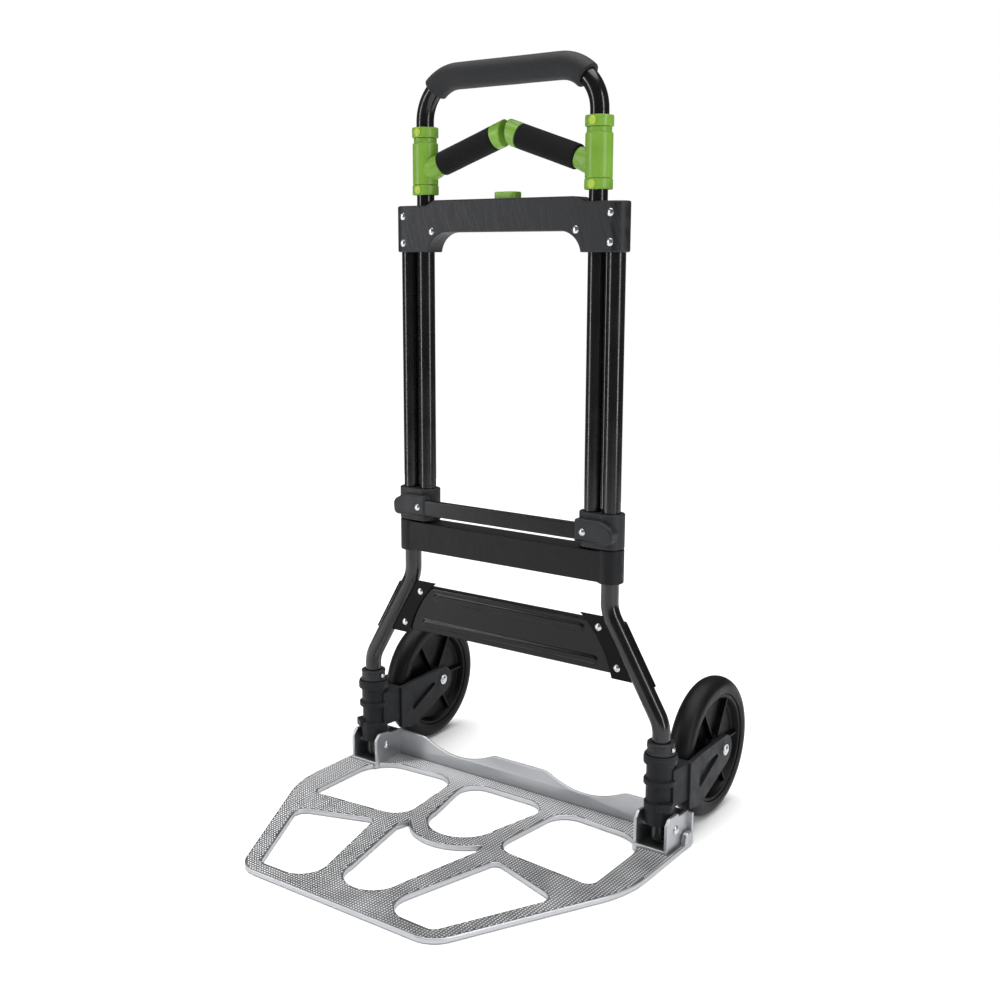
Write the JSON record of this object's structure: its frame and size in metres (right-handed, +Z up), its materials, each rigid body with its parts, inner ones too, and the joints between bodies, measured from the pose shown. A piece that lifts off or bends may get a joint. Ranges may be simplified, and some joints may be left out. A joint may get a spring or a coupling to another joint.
{
  "type": "folding luggage cart",
  "caption": "Folding two-wheel luggage cart with a telescopic U handle, swivelling side grips, a fold-up openwork toe plate and wheels that swing in as it folds.",
  "frame": {"origin": "on the ground, under the middle of the cart's box", "axes": "+Z up, -Y towards the toe plate's front edge, +X to the cart's right seen from the front"},
  "size_m": [0.515, 0.556, 0.9379],
  "materials": {
    "black_steel": "gloss black powder coat",
    "charcoal_plastic": "fine grained satin",
    "fork_plastic": "fine grained satin",
    "green_plastic": "satin",
    "handle_foam": "matte closed-cell foam",
    "side_foam": "matte closed-cell foam",
    "zinc": "bright zinc plate",
    "spring_steel": "drawn wire",
    "cast_aluminium": "satin with a fine raised dot pattern on top",
    "tyre_rubber": "satin solid rubber",
    "hub_plastic": "satin"
  },
  "bodies": {
    "frame": {"leg_tube_right": "black_steel", "leg_tube_left": "black_steel", "lower_yoke": "charcoal_plastic", "upper_yoke_front": "charcoal_plastic", "upper_yoke_rear": "charcoal_plastic", "yoke_rivet_top_right": "zinc", "yoke_rivet_top_left": "zinc", "yoke_rivet_low_right": "zinc", "yoke_rivet_low_left": "zinc", "yoke_rivet_inner_right": "zinc", "yoke_rivet_inner_left": "zinc", "cross_panel": "black_steel", "gusset_right": "black_steel", "gusset_left": "black_steel", "gusset_rivet_top_right": "zinc", "gusset_rivet_top_left": "zinc", "gusset_rivet_low_right": "zinc", "gusset_rivet_low_left": "zinc", "guide_collar_right": "charcoal_plastic", "guide_collar_left": "charcoal_plastic", "guide_collar_rivet_right": "zinc", "guide_collar_rivet_left": "zinc", "hinge_pin_right": "zinc", "hinge_pin_left": "zinc", "button_spring": "spring_steel"},
    "handle": {"handle_tube": "black_steel", "handle_foam_grip": "handle_foam", "upper_stop_collar_right": "green_plastic", "upper_stop_collar_left": "green_plastic", "lower_stop_collar_right": "green_plastic", "lower_stop_collar_left": "green_plastic", "upper_collar_rivet_right": "green_plastic", "upper_collar_rivet_left": "green_plastic", "lower_collar_rivet_right": "green_plastic", "lower_collar_rivet_left": "green_plastic", "slider_clamp_right": "charcoal_plastic", "slider_clamp_left": "charcoal_plastic", "slider_rivet_right": "zinc", "slider_rivet_left": "zinc", "crossbar": "black_steel"},
    "button": {"release_button": "green_plastic"},
    "toe_plate": {"toe_plate": "cast_aluminium"},
    "side_grip_right": {"side_grip_arm_right": "green_plastic", "side_grip_foam_right": "side_foam", "side_grip_cap_right": "green_plastic"},
    "lock_bolt_right": {"lock_bolt_right": "zinc"},
    "fork_right": {"wheel_fork_right": "fork_plastic", "axle_bolt_right": "zinc"},
    "wheel_right": {"tyre_right": "tyre_rubber", "wheel_hub_right": "hub_plastic"},
    "side_grip_left": {"side_grip_arm_left": "green_plastic", "side_grip_foam_left": "side_foam", "side_grip_cap_left": "green_plastic"},
    "lock_bolt_left": {"lock_bolt_left": "zinc"},
    "fork_left": {"wheel_fork_left": "fork_plastic", "axle_bolt_left": "zinc"},
    "wheel_left": {"tyre_left": "tyre_rubber", "wheel_hub_left": "hub_plastic"}
  },
  "joints": [
    {"name": "handle_slide", "type": "slide", "parent": "frame", "child": "handle", "axis": [0, 0, 1], "range_m": [0, 0.3]},
    {"name": "side_grip_swivel_right", "type": "hinge", "parent": "handle", "child": "side_grip_right", "pos_m": [0.1264, 0.061, 0.82], "axis": [0, 0, 1], "range_deg": [-90, 90]},
    {"name": "side_grip_swivel_left", "type": "hinge", "parent": "handle", "child": "side_grip_left", "pos_m": [-0.1264, 0.061, 0.82], "axis": [0, 0, -1], "range_deg": [-90, 90]},
    {"name": "release_button_press", "type": "slide", "parent": "frame", "child": "button", "axis": [0, 0, -1], "range_m": [0, 0.006], "stiffness_N_per_m": 900, "springref_m": -0.004, "deforming": ["button_spring"]},
    {"name": "lock_bolt_slide_right", "type": "slide", "parent": "frame", "child": "lock_bolt_right", "axis": [-1, 0, 0], "range_m": [0, 0.006]},
    {"name": "lock_bolt_slide_left", "type": "slide", "parent": "frame", "child": "lock_bolt_left", "axis": [1, 0, 0], "range_m": [0, 0.006]},
    {"name": "toe_plate_fold", "type": "hinge", "parent": "frame", "child": "toe_plate", "pos_m": [0, 0.061, 0.029], "axis": [-1, 0, 0], "range_deg": [0, 90]},
    {"name": "wheel_swing_right", "type": "hinge", "parent": "frame", "child": "fork_right", "pos_m": [0.2264, 0.061, 0.09], "axis": [0, 0, 1], "range_deg": [0, 90]},
    {"name": "wheel_swing_left", "type": "hinge", "parent": "frame", "child": "fork_left", "pos_m": [-0.2264, 0.061, 0.09], "axis": [0, 0, -1], "range_deg": [0, 90]},
    {"name": "wheel_spin_right", "type": "hinge", "parent": "fork_right", "child": "wheel_right", "pos_m": [0.2264, 0.188, 0.09], "axis": [1, 0, 0], "continuous": true},
    {"name": "wheel_spin_left", "type": "hinge", "parent": "fork_left", "child": "wheel_left", "pos_m": [-0.2264, 0.188, 0.09], "axis": [1, 0, 0], "continuous": true}
  ],
  "couplings": [
    {"joint": "wheel_swing_right", "follows": "toe_plate_fold", "ratio": 1},
    {"joint": "wheel_swing_left", "follows": "toe_plate_fold", "ratio": 1},
    {"joint": "lock_bolt_slide_right", "follows": "release_button_press", "ratio": 1},
    {"joint": "lock_bolt_slide_left", "follows": "release_button_press", "ratio": 1}
  ]
}
